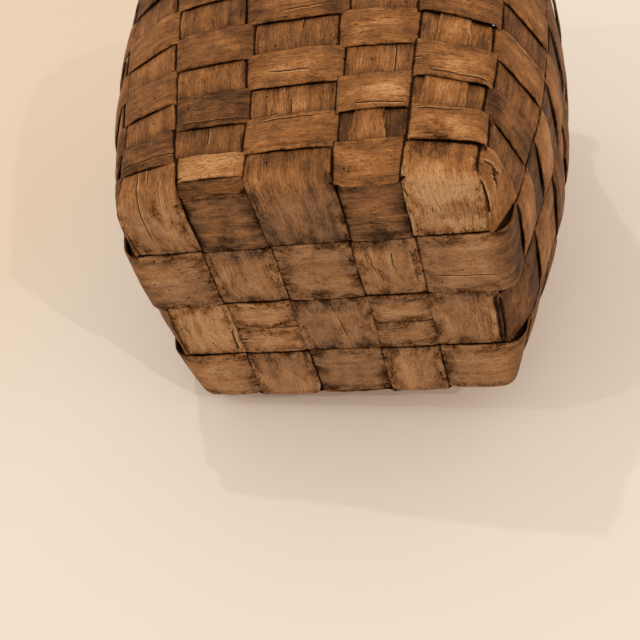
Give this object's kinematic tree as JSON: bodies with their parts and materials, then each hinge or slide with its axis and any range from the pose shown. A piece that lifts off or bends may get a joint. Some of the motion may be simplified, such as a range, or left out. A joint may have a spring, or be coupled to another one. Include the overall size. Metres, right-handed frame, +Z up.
{
  "type": "pack basket",
  "caption": "Tall woven ash-splint pack basket with a bellied front, a flat back, lashed rim hoops and a carved carrying handle.",
  "frame": {"origin": "floor level under the middle of the woven base", "axes": "+Z up to the rim, -Y to the bellied front, +Y to the flat back that rests on the wearer, +X to the right seen from the front"},
  "size_m": [0.363, 0.333, 0.4949],
  "materials": {
    "aged_ash_splint": "aged, matt",
    "aged_ash_wood": "worn, satin",
    "dull_copper": "dull copper"
  },
  "bodies": {
    "root": {"column_stave_1": "aged_ash_splint", "column_stave_2": "aged_ash_splint", "column_stave_3": "aged_ash_splint", "column_stave_4": "aged_ash_splint", "column_stave_5": "aged_ash_splint", "row_stave_1": "aged_ash_splint", "row_stave_2": "aged_ash_splint", "row_stave_3_front": "aged_ash_splint", "row_stave_3_back": "aged_ash_splint", "row_stave_4": "aged_ash_splint", "weaver_01": "aged_ash_splint", "weaver_02": "aged_ash_splint", "weaver_03": "aged_ash_splint", "weaver_04": "aged_ash_splint", "weaver_05": "aged_ash_splint", "weaver_06": "aged_ash_splint", "weaver_07": "aged_ash_splint", "weaver_08": "aged_ash_splint", "weaver_09": "aged_ash_splint", "weaver_10": "aged_ash_splint", "weaver_11": "aged_ash_splint", "weaver_12": "aged_ash_splint", "weaver_13": "aged_ash_splint", "weaver_14": "aged_ash_splint", "weaver_15": "aged_ash_splint", "weaver_16": "aged_ash_splint", "repair_splint_short": "aged_ash_splint", "repair_splint_long": "aged_ash_splint", "starter_weaver": "aged_ash_splint", "rim_lashing": "aged_ash_splint", "outer_rim_hoop": "aged_ash_wood", "inner_rim_hoop": "aged_ash_wood", "carry_handle": "aged_ash_wood", "handle_rivet_right": "dull_copper", "handle_rivet_left": "dull_copper"}
  },
  "joints": []
}
